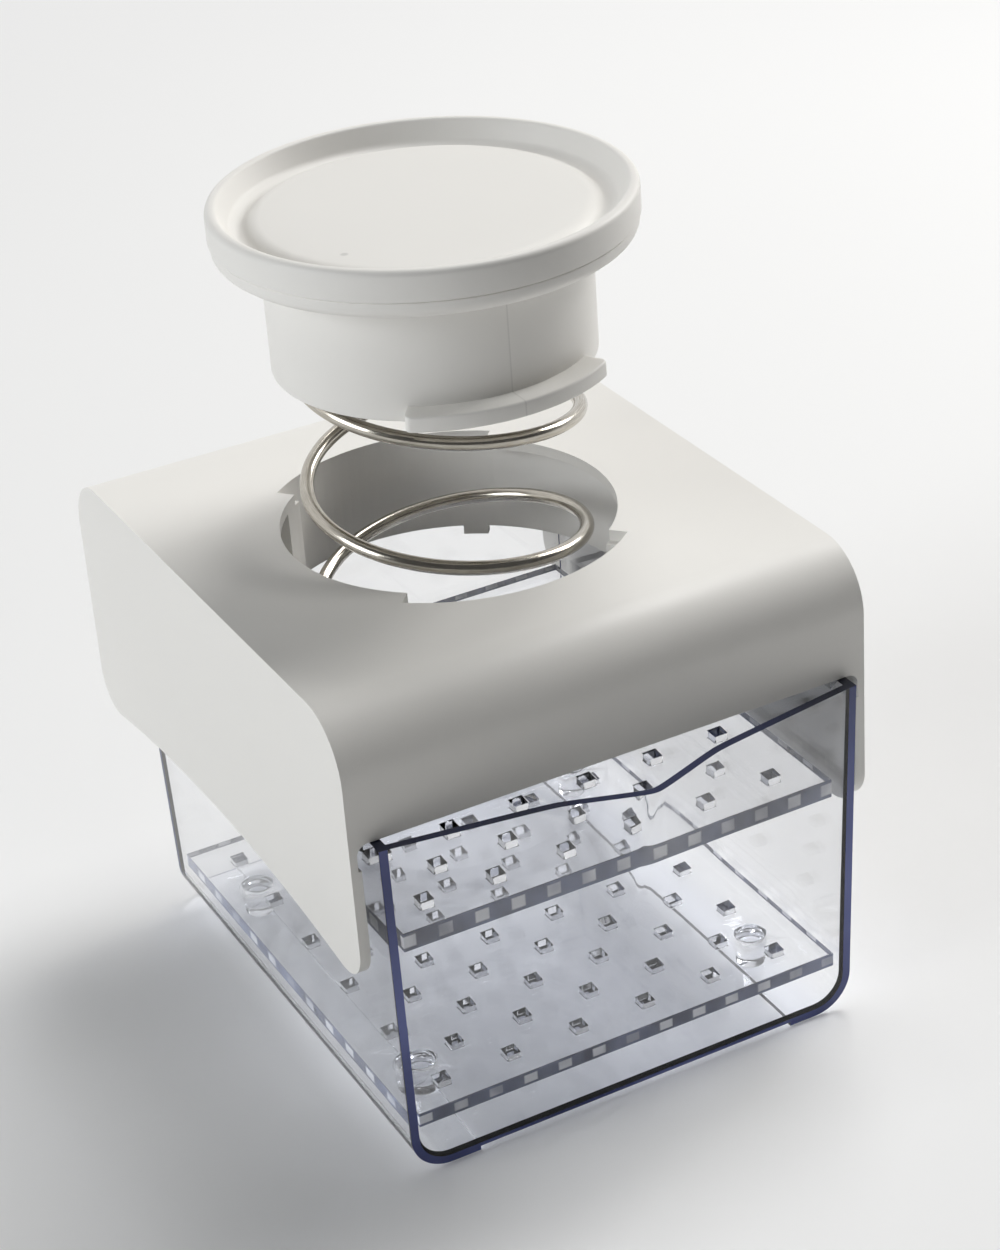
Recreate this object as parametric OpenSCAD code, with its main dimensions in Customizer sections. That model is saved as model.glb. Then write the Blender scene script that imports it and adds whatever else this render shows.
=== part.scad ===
// Spring-loaded press for draining a block of bean curd.
// A clear drip container with a pouring lip carries a drain tray, a press
// plate and a cover that slides on its two rails. A coil spring stands on the
// press plate and pushes up a round knob, whose two lugs lock under the lip of
// the cover's hole. Units are millimetres. Z is up, the pouring lip faces -Y,
// and the origin is at table height in the middle of the whole press.

/* [View] */
// Sub-part to draw, or all of them

/* [Container] */
// Width across the side walls at the top
container_width = 133; // [110:0.5:160]
// Depth from the front corners to the rear wall at the top
container_depth = 150; // [120:0.5:180]
// Height of the container's top edge above the table
container_height = 97.8; // [80:0.1:120]
// How far each wall leans in per millimetre of height
container_draft = 0.019; // [0:0.001:0.03]
// Thickness of the side and rear walls
container_wall = 2.7; // [2:0.1:4]
// Thickness of the front wall
front_wall = 2.3; // [1.8:0.1:4]
// Thickness of the floor where it stands on the table
floor_thickness = 3; // [2.4:0.1:5]
// Outer radius of the long bottom edges
bottom_radius = 10.8; // [6:0.1:20]
// Distance from each side to the shallow recess under the floor
recess_margin = 20.5; // [12:0.5:35]
// Depth of the recess under the floor
recess_depth = 1.2; // [0.4:0.1:1.6]
// Distance from each side to the wide part of the pouring lip
lip_margin = 2.5; // [2.5:0.5:20]
// Reach of the wide part of the pouring lip
lip_wide_reach = 10; // [4:0.5:14]
// Half width of the pinched tip of the pouring lip
lip_tip = 20; // [10:0.5:30]
// Extra reach of the pinched tip
lip_tip_reach = 4.5; // [2:0.5:8]
// Height at which the wide part fades into the flat wall
lip_wide_low = 22; // [10:1:60]
// Height at which the pinched tip fades out
lip_tip_low = 52; // [30:1:80]
// How far each rail stands out from the side wall
rail_reach = 3.1; // [2:0.1:5]
// Height of each rail's upright edge
rail_edge = 1.1; // [0.6:0.1:2]
// Height of each rail where it joins the wall
rail_height = 2.6; // [2:0.1:5]
// Distance from each end of the container to the rail
rail_margin = 9; // [0:0.5:30]

/* [Drain tray and press plate] */
// Room between the drain tray and each side wall
tray_side_gap = 0.9; // [0.4:0.1:3]
// Room between the drain tray and each end wall
tray_end_gap = 0.7; // [0.4:0.1:3]
// Thickness of the drain tray
tray_thickness = 4; // [2.5:0.1:6]
// Height of the four feet under the drain tray
tray_foot_height = 9.2; // [4:0.1:14]
// Diameter of each foot
tray_foot_diameter = 8; // [5:0.5:12]
// Room between the pressed-down plate and each side wall
plate_side_gap = 2; // [0.5:0.1:4]
// Room between the pressed-down plate and each end wall
plate_end_gap = 0.8; // [0.5:0.1:4]
// Thickness of the press plate
plate_thickness = 5.3; // [4:0.1:8]
// Distance from the container's top edge down to the press plate's top face
plate_drop = 27.3; // [15:0.1:40]
// How far the press plate sinks when the knob is pushed right down
plate_travel = 12; // [5:0.5:20]
// Corner radius of both plates
plate_corner = 2.5; // [1:0.5:8]
// Side of each square drain hole
drain_hole = 3.8; // [3:0.1:7]
// Distance from each side of the press plate to the middle of the nearest hole
hole_margin = 11.4; // [6:0.1:20]
// Distance from each end of the press plate to the middle of the nearest row
row_margin = 11.1; // [6:0.1:20]
// Number of rows of holes
row_count = 11; // [7:2:11]
// Holes in the long rows; the rows between have one fewer
row_holes = 6; // [4:1:6]

/* [Cover] */
// How much deeper the cover is than the container
cover_extra_depth = 15; // [6:0.5:25]
// Height of the cover's top face above the container's top edge
cover_rise = 32.2; // [24:0.1:50]
// Wall thickness of the cover
cover_wall = 2.9; // [2:0.1:4]
// Thickness of the two side flaps
flap_wall = 2.8; // [2.4:0.1:4]
// Radius of the front and rear top edges
cover_edge = 16; // [8:0.5:20]
// Distance from the container's top edge down to the flaps' lower corners
flap_drop = 39.2; // [25:0.1:55]
// Radius of the lower corners of the flaps
flap_corner = 9.5; // [4:0.5:15]
// Height of the shallow arch in each flap's lower edge
flap_arch = 5.6; // [0:0.1:10]
// Distance from each end of the flap to the arch
flap_arch_margin = 11; // [10:0.5:30]
// How far the cover sits behind the middle of the container
cover_back = 12; // [-5:0.5:20]
// Gap between the container's top edge and the cover resting over it
seat_gap = 0.2; // [0.1:0.05:0.5]
// Height of the groove that clears the rails
groove_height = 7; // [5:0.5:12]
// Depth of the groove
groove_depth = 0.85; // [0.4:0.05:1.2]
// Room between each rail and its groove
rail_clearance = 0.45; // [0.2:0.05:1]
// Corner radius at the top of the groove
groove_radius = 3; // [1:0.1:5]
// Width of each seat rib that rests above a rail
seat_width = 6.2; // [3:0.1:10]
// Height of each seat rib
seat_height = 3; // [2:0.1:6]

/* [Bayonet] */
// Radius of the round hole in the cover
hole_radius = 43.65; // [35:0.05:50]
// Thickness of the lip round the hole
lip_thickness = 3; // [2.5:0.1:5]
// Outward step of the two slots and of the gallery under the lip
slot_step = 5; // [3:0.1:7]
// Angle covered by each slot
slot_angle = 82; // [76:1:90]
// Thickness of the collar's wall
collar_wall = 2.35; // [2:0.05:4]
// Height of the collar's lower edge above the cover's skirt
collar_lift = 3; // [2.8:0.1:10]
// Angle covered by each stop rib
stop_angle = 10; // [6:1:14]
// Turn from the middle of a slot to its stop rib
stop_at = 38; // [37:0.5:42]
// Angle covered by each small tab under the collar
tab_angle = 8; // [5:0.5:12]
// How far each tab hangs below the collar
tab_drop = 2.6; // [1:0.1:2.8]
// Turn from the middle of a slot to the middle of its tab
tab_at = -34; // [-38:1:38]

/* [Knob] */
// Room between the knob's skirt and the hole
skirt_clearance = 2.55; // [0.5:0.05:5]
// Wall thickness of the skirt
skirt_wall = 2.5; // [2:0.1:4]
// Height of the released skirt's lower edge above the cover
knob_lift = 45; // [20:0.5:60]
// Height of the skirt up to the head
skirt_height = 31; // [20:0.5:40]
// Clearance between each lug and the gallery
lug_clearance = 1.05; // [0.3:0.05:2]
// Thickness of each lug
lug_height = 4.2; // [2.5:0.1:6]
// Angle covered by each lug
lug_angle = 72; // [60:1:74]
// How far the head stands out from the skirt
head_overhang = 12.1; // [9:0.1:20]
// Step from the head's upper band in to its lower band
band_step = 0.4; // [0:0.1:1]
// Height of the parting line above the skirt's lower edge
seam_height = 35.5; // [34:0.1:38]
// Height of the rim above the skirt's lower edge
rim_height = 43.4; // [40:0.1:48]
// Rounding under the head
under_radius = 3; // [1:0.1:4]
// Rounding of the rim's outer edge
rim_radius = 1.5; // [0.5:0.1:3]
// Width of the rim round the top of the head
rim_width = 3; // [2:0.1:6]
// Height of the raised disc inside the rim
disc_height = 39.4; // [37:0.1:43]
// Distance from the rim's inner edge in to the raised disc
disc_margin = 6.7; // [5:0.1:15]
// Depth of the ring groove round the disc
ring_groove = 2.2; // [1:0.1:3]
// Height of the ceiling inside the knob
ceiling_height = 34; // [32:0.1:36]
// Height of the locating ring inside the knob
locator_height = 5; // [3:0.5:10]
// Wall thickness of the locating ring
locator_wall = 2.2; // [1.5:0.1:4]

/* [Spring] */
// Room between the coil and the inside of the knob's skirt
coil_clearance = 1.2; // [0.8:0.05:6]
// Diameter of the wire
wire = 3.75; // [2.5:0.05:5]
// Rise per turn of the open coils
coil_pitch = 34.1; // [20:0.1:40]
// Turns of wire in all
coil_turns = 5.75; // [4:0.125:8]
// Free gap between the closed end coils
end_gap = 0.7; // [0.5:0.05:2]
// Gap between each end of the spring and what it bears on
bearing_gap = 0.1; // [0.05:0.05:0.5]

/* [Hidden] */
$fn = 96;
overlap = 1;
wall_step = 0.3;

// Container
half_w = container_width / 2;
half_d = container_depth / 2;
lean = atan(container_draft);
inner_radius = bottom_radius - container_wall;
recess_half_width = half_w - recess_margin;
lip_wide = half_w - lip_margin;
rail_half_width = half_w + rail_reach;
rail_length = container_depth - 2 * rail_margin;
rail_top = container_height - seat_gap;
rail_chamfer = rail_height - rail_edge;

// Drain tray and press plate
tray_low = floor_thickness + tray_foot_height;
tray_width = 2 * (half_w - lean_in(tray_low) - container_wall - tray_side_gap);
tray_depth = 2 * (half_d - lean_in(tray_low) - container_wall - tray_end_gap);
plate_top = container_height - plate_drop;
plate_lowest = plate_top - plate_travel - plate_thickness;
plate_width = 2 * (half_w - lean_in(plate_lowest) - container_wall - plate_side_gap);
plate_depth = 2 * (half_d - lean_in(plate_lowest) - container_wall - plate_end_gap);
hole_pitch = (plate_width - 2 * hole_margin) / (row_holes - 1);
row_pitch = (plate_depth - 2 * row_margin) / (row_count - 1);
foot_x = (row_holes - 1) / 2 * hole_pitch;
foot_y = (row_count - 3) / 2 * row_pitch;

// Cover
seat_z = container_height + seat_gap;
groove_inner = rail_half_width + rail_clearance;
flap_inner = groove_inner - groove_depth;
cover_width = 2 * (flap_inner + flap_wall);
cover_depth = container_depth + cover_extra_depth;
cover_top = container_height + cover_rise;
flap_low = container_height - flap_drop;
flap_arch_half = cover_depth / 2 - flap_arch_margin;
arch_radius = (pow(flap_arch_half, 2) + pow(flap_arch, 2)) / (2 * flap_arch);
gallery_radius = hole_radius + slot_step;
collar_radius = gallery_radius + collar_wall;
collar_low = seat_z + collar_lift;
lip_low = cover_top - lip_thickness;
seat_length = cover_depth - 2 * cover_wall + 1;

// Places along Y
front_reach = -container_depth / 2 + wall_step + lean_in(container_height - wall_step)
    - bulge(0, container_height - wall_step);
rear_reach = cover_back + cover_depth / 2;
middle_y = -(front_reach + rear_reach) / 2;
hole_y = middle_y + cover_back;

// Knob
rings_per_turn = 8;
ring_sides = 6;
lug_radius = gallery_radius - lug_clearance;
skirt_radius = hole_radius - skirt_clearance;
skirt_low = cover_top + knob_lift;
head_radius = skirt_radius + head_overhang;
band_radius = head_radius - band_step;
rim_inner = head_radius - rim_width;
disc_radius = rim_inner - disc_margin;
hollow_radius = skirt_radius - skirt_wall;
coil_radius = hollow_radius - coil_clearance - wire / 2;
locator_radius = coil_radius * cos(180 / rings_per_turn) - wire / 2 - 0.5;

// Spring
spring_low = plate_top + bearing_gap + wire / 2;
spring_high = skirt_low + ceiling_height - bearing_gap - wire / 2;
spring_middle = (spring_low + spring_high) / 2;
end_pitch = wire + end_gap;
open_turns = (spring_high - spring_low - coil_turns * end_pitch) / (coil_pitch - end_pitch);
ring_count = round(coil_turns * rings_per_turn) + 1;
coil_phase = -192.9;

// ---------- helpers ----------

// Extrudes a drawing of the Y-Z plane evenly to both sides of X = 0.
module across(width) {
    translate([-width / 2, 0, 0])
        rotate([90, 0, 90])
            linear_extrude(height = width)
                children();
}

// Extrudes a drawing of the X-Z plane from one Y to another.
module along(y_from, y_to) {
    translate([0, y_to, 0])
        rotate([90, 0, 0])
            linear_extrude(height = y_to - y_from)
                children();
}

// Rectangle about the origin with round corners.
module round_rect(w, d, r) {
    square([w - 2 * r, d], center = true);
    square([w, d - 2 * r], center = true);
    for (x = [-1, 1]) {
        for (y = [-1, 1]) {
            translate([x * (w / 2 - r), y * (d / 2 - r)])
                circle(r = r);
        }
    }
}

// Wedge about the origin from one angle to another, at most 170 degrees wide.
module wedge(a_from, a_to, reach) {
    a_mid = (a_from + a_to) / 2;
    far = reach / cos((a_to - a_from) / 4);
    polygon([
        [0, 0],
        [far * cos(a_from), far * sin(a_from)],
        [far * cos(a_mid), far * sin(a_mid)],
        [far * cos(a_to), far * sin(a_to)]
    ]);
}

// Part of a flat ring between two radii and two angles.
module ring_sector(r_in, r_out, a_from, a_to) {
    intersection() {
        difference() {
            circle(r = r_out);
            circle(r = r_in);
        }
        wedge(a_from, a_to, r_out * 1.2);
    }
}

// ---------- container ----------

// Side-to-side section of the container, set in from its outside.
module u_section(inset, low, r, z_top) {
    x_top = half_w - inset + container_draft * (z_top - container_height);
    x_c = x_top - (z_top - low - r) * tan(lean) - r / cos(lean);
    polygon([
        [-x_c, low],
        [x_c, low],
        [x_c + r * cos(lean), low + r - r * sin(lean)],
        [x_top, z_top],
        [-x_top, z_top],
        [-x_c - r * cos(lean), low + r - r * sin(lean)]
    ]);
    for (x = [-x_c, x_c]) {
        translate([x, low + r])
            circle(r = r);
    }
}

// Everything in front of the leaning front plane.
module front_cutter() {
    translate([0, -half_d, container_height])
        rotate([lean, 0, 0])
            translate([-container_width, -bottom_radius, -2 * container_height])
                cube([2 * container_width, bottom_radius, 3 * container_height]);
}

// Side walls and floor in one.
module trough() {
    difference() {
        along(-half_d, half_d)
            difference() {
                u_section(0, 0, bottom_radius, container_height);
                u_section(container_wall, floor_thickness, inner_radius, container_height + 5);
            }
        front_cutter();
        mirror([0, 1, 0])
            front_cutter();
        translate([-recess_half_width, -half_d - 5, -overlap])
            cube([2 * recess_half_width, container_depth + 10, overlap + recess_depth]);
    }
}

// Flat rear wall, leaning in towards the bottom.
module rear_wall() {
    intersection() {
        along(-half_d, half_d)
            u_section(container_wall / 2, floor_thickness / 2, bottom_radius - container_wall / 2,
                container_height - wall_step);
        translate([0, half_d, container_height])
            rotate([-lean, 0, 0])
                translate([-container_width, -wall_step - container_wall, -2 * container_height])
                    cube([2 * container_width, container_wall, 3 * container_height]);
    }
}

// Half width of the front wall at a height, ending inside the side walls.
side_x = half_w - container_wall / 2;
arc_r = bottom_radius - container_wall / 2;
arc_x = side_x - container_draft * (container_height - bottom_radius) - arc_r;
function front_half(z) =
    z > bottom_radius ? side_x - lean_in(z)
    : arc_x + sqrt(max(0, arc_r * arc_r - pow(bottom_radius - z, 2)));

// How far the walls have leaned in at a height.
function lean_in(z) = container_draft * (container_height - z);
// Share of the lip's reach at a height, from none at its low end to all at the top edge.
function fade(z, low, power) =
    pow(max(0, min(1, (z - low) / (container_height - low))), power);
// Forward bulge of the front wall at a place on it.
function bulge(x, z) =
    lip_wide_reach * max(0, 1 - abs(x) / lip_wide) * fade(z, lip_wide_low, 1.7)
    + lip_tip_reach * max(0, 1 - abs(x) / lip_tip) * fade(z, lip_tip_low, 1.5);

// Columns and rows of points on the front wall.
lip_side = concat(
    [for (share = [0.3, 0.65, 1]) share * lip_tip],
    [for (share = [0.3, 0.64]) lip_tip + share * (lip_wide - lip_tip)]
);
lip_x = concat([for (i = [len(lip_side) - 1 : -1 : 0]) -lip_side[i]], [0], lip_side);
lip_top_z = container_height - wall_step;
lip_z = concat(
    [floor_thickness / 2 + 0.1, floor_thickness + 0.4, 0.6 * bottom_radius, bottom_radius + 0.1],
    [
        for (share = [0, 0.16, 0.32, 0.45, 0.58, 0.7, 0.8, 0.9, 1])
            lip_wide_low + share * (lip_top_z - lip_wide_low)
    ]
);
lip_nx = len(lip_x) + 2;
lip_nz = len(lip_z);
function lip_row(z) = concat([-front_half(z)], lip_x, [front_half(z)]);

// Front wall with its pouring lip: an outer and an inner skin joined round the edge.
module front_wall_solid() {
    outer = [
        for (z = lip_z)
            for (x = lip_row(z))
                [x, lean_in(z) - half_d + wall_step - bulge(x, z), z]
    ];
    inner = [for (p = outer) p + [0, front_wall, 0]];
    n = lip_nx * lip_nz;
    quads = [
        for (j = [0 : lip_nz - 2])
            for (i = [0 : lip_nx - 2])
                [j * lip_nx + i, j * lip_nx + i + 1, (j + 1) * lip_nx + i + 1, (j + 1) * lip_nx + i]
    ];
    outer_faces = [for (q = quads) for (t = [[q[0], q[2], q[1]], [q[0], q[3], q[2]]]) t];
    inner_faces = [for (t = outer_faces) [t[2] + n, t[1] + n, t[0] + n]];
    edge = concat(
        [for (i = [0 : lip_nx - 1]) i],
        [for (j = [1 : lip_nz - 1]) j * lip_nx + lip_nx - 1],
        [for (i = [lip_nx - 2 : -1 : 0]) (lip_nz - 1) * lip_nx + i],
        [for (j = [lip_nz - 2 : -1 : 1]) j * lip_nx]
    );
    m = len(edge);
    edge_faces = [
        for (k = [0 : m - 1])
            let (a = edge[k], b = edge[(k + 1) % m])
            for (t = [[a, b, b + n], [a, b + n, a + n]])
                t
    ];
    polyhedron(
        points = concat(outer, inner),
        faces = concat(outer_faces, inner_faces, edge_faces),
        convexity = 4
    );
}

module rail() {
    along(-rail_length / 2, rail_length / 2)
        polygon([
            [half_w - overlap - 0.5, rail_top - rail_height],
            [rail_half_width, rail_top - rail_height],
            [rail_half_width, rail_top - rail_chamfer],
            [rail_half_width - rail_chamfer, rail_top],
            [half_w - overlap - 0.5, rail_top]
        ]);
}

module container() {
    color([0.72, 0.78, 0.90, 0.35])
        translate([0, middle_y, 0]) {
            trough();
            rear_wall();
            front_wall_solid();
            rail();
            mirror([1, 0, 0])
                rail();
        }
}

// ---------- drain tray and press plate ----------

// Staggered rows of square holes.
module drain_holes() {
    for (row = [0 : row_count - 1]) {
        count = row_holes - row % 2;
        for (i = [0 : count - 1]) {
            translate([
                (i - (count - 1) / 2) * hole_pitch,
                (row - (row_count - 1) / 2) * row_pitch
            ])
                square(drain_hole, center = true);
        }
    }
}

module drain_tray() {
    color([0.74, 0.80, 0.92, 0.35])
        translate([0, middle_y, floor_thickness]) {
            translate([0, 0, tray_foot_height])
                linear_extrude(height = tray_thickness)
                    difference() {
                        round_rect(tray_width, tray_depth, plate_corner);
                        drain_holes();
                    }
            for (x = [-1, 1]) {
                for (y = [-1, 1]) {
                    translate([x * foot_x, y * foot_y, 0])
                        cylinder(d = tray_foot_diameter, h = tray_foot_height + 1);
                }
            }
        }
}

module press_plate() {
    color([0.74, 0.80, 0.92, 0.35])
        translate([0, middle_y, plate_top - plate_thickness])
            linear_extrude(height = plate_thickness)
                difference() {
                    round_rect(plate_width, plate_depth, plate_corner);
                    drain_holes();
                }
}

// ---------- cover ----------

// Side view of the whole cover: two upper and two lower round corners.
module side_view() {
    half = cover_depth / 2;
    difference() {
        union() {
            translate([-half, flap_low + flap_corner])
                square([cover_depth, cover_top - cover_edge - flap_low - flap_corner]);
            translate([-half + cover_edge, cover_top - cover_edge - overlap])
                square([cover_depth - 2 * cover_edge, cover_edge + overlap]);
            translate([-half + flap_corner, flap_low])
                square([cover_depth - 2 * flap_corner, flap_corner + overlap]);
            for (s = [-1, 1]) {
                translate([s * (half - cover_edge), cover_top - cover_edge])
                    circle(r = cover_edge);
                translate([s * (half - flap_corner), flap_low + flap_corner])
                    circle(r = flap_corner);
            }
        }
        translate([0, flap_low + flap_arch - arch_radius])
            circle(r = arch_radius);
    }
}

// Side view of the hollow under the cover's top.
module hollow_view() {
    half = cover_depth / 2 - cover_wall;
    r = cover_edge - cover_wall;
    translate([-half, seat_z - overlap])
        square([2 * half, lip_low - r - seat_z + overlap]);
    translate([-half + r, seat_z])
        square([2 * (half - r), lip_low - seat_z]);
    for (s = [-1, 1]) {
        translate([s * (half - r), lip_low - r])
            circle(r = r);
    }
}

// Front view of the opening between the flaps, with the rail grooves.
module opening_view() {
    translate([-flap_inner, 0])
        square([2 * flap_inner, seat_z - groove_height + overlap]);
    translate([-groove_inner, seat_z - groove_height])
        square([2 * groove_inner, groove_height - groove_radius]);
    translate([-groove_inner + groove_radius, seat_z - groove_height])
        square([2 * (groove_inner - groove_radius), groove_height]);
    for (s = [-1, 1]) {
        translate([s * (groove_inner - groove_radius), seat_z - groove_radius])
            circle(r = groove_radius);
    }
}

module collar() {
    translate([0, 0, collar_low])
        linear_extrude(height = lip_low - collar_low + overlap)
            difference() {
                circle(r = collar_radius);
                circle(r = gallery_radius);
            }
    for (half_turn = [0, 180]) {
        rotate([0, 0, half_turn]) {
            translate([0, 0, collar_low])
                linear_extrude(height = lip_low - collar_low + overlap)
                    ring_sector(hole_radius, collar_radius - 0.5,
                        90 + stop_at, 90 + stop_at + stop_angle);
            translate([0, 0, collar_low - tab_drop])
                linear_extrude(height = tab_drop + overlap)
                    ring_sector(gallery_radius, collar_radius,
                        90 + tab_at - tab_angle / 2, 90 + tab_at + tab_angle / 2);
        }
    }
}

module cover() {
    color([0.93, 0.92, 0.90])
        translate([0, hole_y, 0])
            difference() {
                union() {
                    difference() {
                        across(cover_width)
                            side_view();
                        across(2 * flap_inner)
                            hollow_view();
                        along(-cover_depth, cover_depth)
                            opening_view();
                    }
                    for (s = [0, 1]) {
                        mirror([s, 0, 0])
                            translate([flap_inner - seat_width, -seat_length / 2, seat_z])
                                cube([seat_width + 0.5, seat_length, seat_height]);
                    }
                    collar();
                }
                translate([0, 0, lip_low - 0.01])
                    linear_extrude(height = lip_thickness + overlap) {
                        circle(r = hole_radius);
                        for (middle = [90, 270]) {
                            ring_sector(hole_radius - 3, gallery_radius,
                                middle - slot_angle / 2, middle + slot_angle / 2);
                        }
                    }
            }
}

// ---------- spring ----------

// Drop of the wire's middle line, counted in turns from the spring's middle.
function open_part(t) = min(abs(t), open_turns / 2);
function drop(t) =
    sign(t) * (coil_pitch * open_part(t) + end_pitch * (abs(t) - open_part(t)));
function slope(t) = abs(t) < open_turns / 2 ? coil_pitch : end_pitch;

// One ring of points square to the wire, t turns from the spring's middle.
function ring(t) =
    let (
        a = coil_phase + 360 * t,
        run = 2 * PI * coil_radius,
        size = sqrt(run * run + slope(t) * slope(t)),
        up = [-sin(a) * slope(t) / size, cos(a) * slope(t) / size, run / size],
        out = [cos(a), sin(a), 0],
        mid = [coil_radius * cos(a), coil_radius * sin(a), spring_middle - drop(t)]
    )
    [
        for (k = [0 : ring_sides - 1])
            mid + wire / 2 * (cos(360 * k / ring_sides + 90) * out + sin(360 * k / ring_sides + 90) * up)
    ];

spring_rings = [
    for (i = [0 : ring_count - 1])
        ring(-coil_turns / 2 + i / rings_per_turn)
];
spring_points = [
    for (r = spring_rings)
        for (p = r)
            p
];

// Least distance between points of the wire that are half a turn or more apart.
self_gap = min([
    for (i = [0 : ring_count - 1])
        for (j = [i + 4 : 1 : ring_count - 1])
            for (a = spring_rings[i])
                min([for (b = spring_rings[j]) norm(a - b)])
]);
echo(spring_self_gap = self_gap, open_turns = open_turns);

module spring() {
    last = (ring_count - 1) * ring_sides;
    skin = [
        for (i = [0 : ring_count - 2])
            for (k = [0 : ring_sides - 1])
                let (
                    a = i * ring_sides + k,
                    b = i * ring_sides + (k + 1) % ring_sides
                )
                for (t = [[a, b, b + ring_sides], [a, b + ring_sides, a + ring_sides]])
                    t
    ];
    start = [for (k = [1 : ring_sides - 2]) [0, k + 1, k]];
    end = [for (k = [1 : ring_sides - 2]) [last, last + k, last + k + 1]];
    color([0.76, 0.76, 0.78])
        translate([0, hole_y, 0])
            polyhedron(points = spring_points, faces = concat(skin, start, end), convexity = 10);
}

// ---------- knob ----------

// Half section of the turned body of the knob.
module knob_section() {
    groove_z = disc_height - ring_groove;
    difference() {
        union() {
            square([skirt_radius, skirt_height + overlap]);
            translate([0, skirt_height])
                square([band_radius - under_radius, seam_height - skirt_height]);
            translate([0, skirt_height + under_radius])
                square([band_radius, seam_height - skirt_height - under_radius]);
            translate([band_radius - under_radius, skirt_height + under_radius])
                circle(r = under_radius);
            translate([0, seam_height])
                square([head_radius, rim_height - seam_height - rim_radius]);
            translate([0, seam_height])
                square([head_radius - rim_radius, rim_height - seam_height]);
            translate([head_radius - rim_radius, rim_height - rim_radius])
                circle(r = rim_radius);
        }
        polygon([
            [-1, disc_height],
            [disc_radius - 2, disc_height],
            [disc_radius - 0.6, disc_height - 0.3],
            [disc_radius + 0.6, disc_height - 1],
            [disc_radius + 1.9, groove_z + 0.2],
            [disc_radius + 3, groove_z],
            [disc_radius + 4, groove_z + 0.8],
            [rim_inner - 0.4, rim_height - 0.7],
            [rim_inner + 0.2, rim_height + overlap],
            [-1, rim_height + overlap]
        ]);
        translate([-1, -overlap])
            square([hollow_radius + 1, ceiling_height - locator_height + overlap]);
        translate([-1, ceiling_height - locator_height - 0.01])
            square([locator_radius - locator_wall + 1, locator_height + 0.01]);
        translate([locator_radius, ceiling_height - locator_height - 0.01])
            square([hollow_radius - locator_radius, locator_height + 0.01]);
    }
}

module knob() {
    color([0.93, 0.92, 0.90])
        translate([0, hole_y, skirt_low]) {
            rotate_extrude()
                intersection() {
                    knob_section();
                    square([head_radius + 5, rim_height + 5]);
                }
            linear_extrude(height = lug_height) {
                for (middle = [90, 270]) {
                    ring_sector(skirt_radius - 1, lug_radius,
                        middle - lug_angle / 2, middle + lug_angle / 2);
                }
            }
        }
}

// ---------- drawing ----------

container();
drain_tray();
press_plate();
cover();
spring();
knob();
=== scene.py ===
"""Looks of a spring-loaded press for bean curd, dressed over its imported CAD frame.

Sizes are millimetres in the frame's own axes: Z up, the pouring lip faces -Y.
"""

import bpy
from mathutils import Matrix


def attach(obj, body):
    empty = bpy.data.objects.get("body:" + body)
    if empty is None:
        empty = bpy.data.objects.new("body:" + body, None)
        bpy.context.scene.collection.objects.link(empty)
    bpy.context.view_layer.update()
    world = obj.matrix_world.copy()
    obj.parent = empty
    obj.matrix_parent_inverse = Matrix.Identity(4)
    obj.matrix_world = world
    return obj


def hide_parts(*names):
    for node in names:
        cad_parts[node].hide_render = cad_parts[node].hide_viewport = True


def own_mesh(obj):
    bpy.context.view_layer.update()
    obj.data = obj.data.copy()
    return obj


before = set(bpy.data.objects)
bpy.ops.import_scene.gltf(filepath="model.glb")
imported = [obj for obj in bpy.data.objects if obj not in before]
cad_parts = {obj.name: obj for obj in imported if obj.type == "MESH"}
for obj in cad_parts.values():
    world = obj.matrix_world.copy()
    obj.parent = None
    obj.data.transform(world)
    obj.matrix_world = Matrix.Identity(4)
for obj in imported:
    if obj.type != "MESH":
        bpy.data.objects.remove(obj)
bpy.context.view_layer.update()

import itertools
import math

import bmesh
import bpy
import numpy as np
from mathutils import Matrix, Vector

MM = 0.001
weld_reach = 0.004 * MM  # points of one piece closer than this are one point

# ---------------------------------------------------------------------------
# Driving sizes
# ---------------------------------------------------------------------------

middle_y = -2.7085       # middle of the container
hole_y = 9.2915          # axis of the cover's hole, the spring and the knob

# Container: outer sizes, walls, and the pouring lip's wide wedge and narrow tip
vessel_half_width = 66.5
vessel_half_depth = 75.0
vessel_top = 97.8
vessel_lean = 0.019      # how far a wall leans in per unit of height
vessel_wall = 2.7
vessel_front = 2.3
vessel_floor = 3.0
vessel_bend = 10.8       # outer radius of the long bottom edges
recess_depth = 1.2
rim_band = 2.2           # width of the blue band round each end of the container
rail_reach = 69.6
rail_inward = np.array([1.5, 0.75, 0.0, 0.0])    # rail's chamfer, in from its reach
rail_drop = np.array([0.1, 0.85, 1.6, 2.6])      # the same points, down from the top
lip_wide, lip_wide_reach, lip_wide_low = 64.0, 10.0, 22.0
lip_tip, lip_tip_reach, lip_tip_low = 20.0, 4.5, 52.0
lip_pinch = 2.0          # rounding of the ridge in the middle of the lip

# Drain tray and press plate
tray_half_width, tray_half_depth = 61.27, 69.97
tray_low, tray_high = 12.2, 16.2
foot_radius = 4.0
foot_gap = 0.02          # room between the tray's feet and the container's floor
plate_half_width, plate_half_depth = 60.95, 70.65
plate_low, plate_high = 65.2, 70.5
drain_hole, hole_pitch, row_pitch = 3.8, 19.82, 11.91
column_count, row_count = 11, 11

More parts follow.
